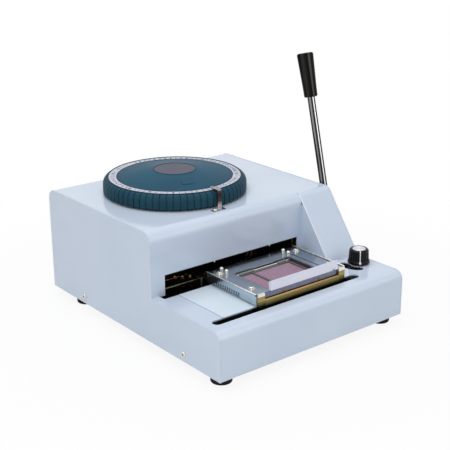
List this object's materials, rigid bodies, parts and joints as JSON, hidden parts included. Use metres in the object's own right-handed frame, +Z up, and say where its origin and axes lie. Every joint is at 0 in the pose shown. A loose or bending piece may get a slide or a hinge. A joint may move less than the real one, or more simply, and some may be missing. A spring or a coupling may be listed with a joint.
{
  "type": "manual card embosser",
  "caption": "Hand-lever embosser for plastic cards: sheet-steel housing with a character dial on top, a side press lever and a sliding card carriage on its front deck.",
  "frame": {"origin": "middle of the outline on the table, under the feet", "axes": "+X to the operator's right, where the lever is; +Y to the back; +Z up"},
  "size_m": [0.324, 0.3738, 0.3264],
  "materials": {
    "painted_sheet": "smooth satin enamel",
    "dark_sheet": "dull zinc-grey paint",
    "black_rubber": "matte",
    "plated_screw": "bright nickel plate",
    "bright_steel": "ground and polished",
    "machined_steel": "machined, oiled",
    "hard_steel": "hardened and blackened",
    "bronze": "sintered bronze",
    "dial_plastic": "moulded, fine satin grain",
    "ring_aluminium": "printed aluminium",
    "grey_label": "smooth satin",
    "black_plastic": "moulded, satin",
    "grip_plastic": "moulded, glossy black",
    "cap_aluminium": "spun face",
    "yellow_zinc": "yellow passivated zinc plate",
    "zinc_sheet": "cold-rolled sheet, bright plated",
    "phenolic": "fine cloth-faced laminate",
    "card_plastic": "smooth vinyl",
    "clamp_sheet": "pale grey enamel"
  },
  "bodies": {
    "housing": {"housing_cover": "painted_sheet", "lever_shroud": "painted_sheet", "left_side_panel": "painted_sheet", "right_side_panel": "painted_sheet", "base_plate": "dark_sheet", "rubber_feet": "black_rubber", "side_screws": "plated_screw", "table_plate": "painted_sheet", "pointer": "bright_steel", "pointer_screw": "plated_screw", "left_frame_plate": "dark_sheet", "right_frame_plate": "dark_sheet", "upper_press_beam": "machined_steel", "lower_press_beam": "machined_steel", "bridge_plate": "dark_sheet", "upper_bearing": "bronze", "lower_bearing": "bronze", "shaft_bushes": "bronze", "carriage_rods": "bright_steel", "rod_brackets": "dark_sheet", "pawl_post": "machined_steel"},
    "type_wheel": {"dial": "dial_plastic", "character_ring": "ring_aluminium", "dial_disc": "grey_label", "dial_base_plate": "black_plastic", "dial_screw": "plated_screw", "spindle": "bright_steel", "wheel_sleeve": "machined_steel", "lower_wheel": "machined_steel", "upper_wheel": "machined_steel", "lower_dies": "hard_steel", "upper_punches": "hard_steel", "index_plate": "machined_steel"},
    "detent": {"detent_arm": "machined_steel"},
    "lever": {"drive_shaft": "bright_steel", "lever_hub": "machined_steel", "lever_rod": "bright_steel", "lever_grip": "grip_plastic", "upper_crank": "machined_steel"},
    "link": {"link_rod": "machined_steel"},
    "lower_drive": {"lower_shaft": "bright_steel", "lower_crank": "machined_steel"},
    "upper_ram": {"upper_plunger": "bright_steel"},
    "lower_ram": {"lower_plunger": "bright_steel"},
    "carriage": {"carriage_plate": "yellow_zinc", "carriage_bushes": "bronze", "guide_rails": "zinc_sheet", "feed_rack": "machined_steel", "line_detent": "machined_steel"},
    "card_holder": {"card_frame": "zinc_sheet", "card_bed": "phenolic", "blank_card": "card_plastic", "frame_screws": "plated_screw", "dome_pins": "plated_screw", "clamp_pin": "bright_steel"},
    "clamp": {"clamp_bezel": "clamp_sheet"},
    "selector": {"selector_knob": "black_plastic", "knob_cap": "cap_aluminium", "selector_stud": "black_plastic"},
    "pawl": {"feed_pawl": "machined_steel"}
  },
  "joints": [
    {"name": "dial_turn", "type": "hinge", "parent": "housing", "child": "type_wheel", "pos_m": [-0.03125, 0.0715, 0.111], "axis": [0, 0, 1], "continuous": true},
    {"name": "detent_swing", "type": "hinge", "parent": "housing", "child": "detent", "pos_m": [0.03575, 0.0715, 0.116], "axis": [0, 0, 1], "range_deg": [0, 10], "stiffness_Nm_per_rad": 0.05},
    {"name": "lever_pull", "type": "hinge", "parent": "housing", "child": "lever", "pos_m": [-0.00975, -0.0305, 0.131], "axis": [1, 0, 0], "range_deg": [0, 70]},
    {"name": "link_follow", "type": "hinge", "parent": "lever", "child": "link", "pos_m": [0.10665, -0.01903, 0.12297], "axis": [1, 0, 0], "range_deg": [-70.5, 0.5]},
    {"name": "lower_shaft_turn", "type": "hinge", "parent": "housing", "child": "lower_drive", "pos_m": [-0.00975, -0.0305, 0.029], "axis": [1, 0, 0], "range_deg": [-0.5, 70.5]},
    {"name": "upper_press", "type": "slide", "parent": "housing", "child": "upper_ram", "axis": [0, 0, -1], "range_m": [-0.0001, 0.0047]},
    {"name": "lower_press", "type": "slide", "parent": "housing", "child": "lower_ram", "axis": [0, 0, 1], "range_m": [-0.0001, 0.0047]},
    {"name": "carriage_slide", "type": "slide", "parent": "housing", "child": "carriage", "axis": [1, 0, 0], "range_m": [-0.055, 0.01]},
    {"name": "line_slide", "type": "slide", "parent": "carriage", "child": "card_holder", "axis": [0, -1, 0], "range_m": [-0.094, 0]},
    {"name": "clamp_open", "type": "hinge", "parent": "card_holder", "child": "clamp", "pos_m": [-0.00975, -0.0869, 0.0835], "axis": [-1, 0, 0], "range_deg": [0, 75]},
    {"name": "knob_turn", "type": "hinge", "parent": "housing", "child": "selector", "pos_m": [0.11875, -0.129, 0.081], "axis": [0, 0, 1], "range_deg": [-38, 38]},
    {"name": "pawl_swing", "type": "hinge", "parent": "housing", "child": "pawl", "pos_m": [-0.03125, -0.1115, 0.041], "axis": [0, 1, 0], "range_deg": [0, 12], "stiffness_Nm_per_rad": 0.02}
  ],
  "couplings": [
    {"joint": "link_follow", "follows": "lever_pull", "ratio": -1},
    {"joint": "lower_shaft_turn", "follows": "lever_pull", "ratio": 1},
    {"joint": "upper_press", "follows": "lever_pull", "m_per_rad": 0.003756},
    {"joint": "lower_press", "follows": "lever_pull", "m_per_rad": 0.003756}
  ]
}
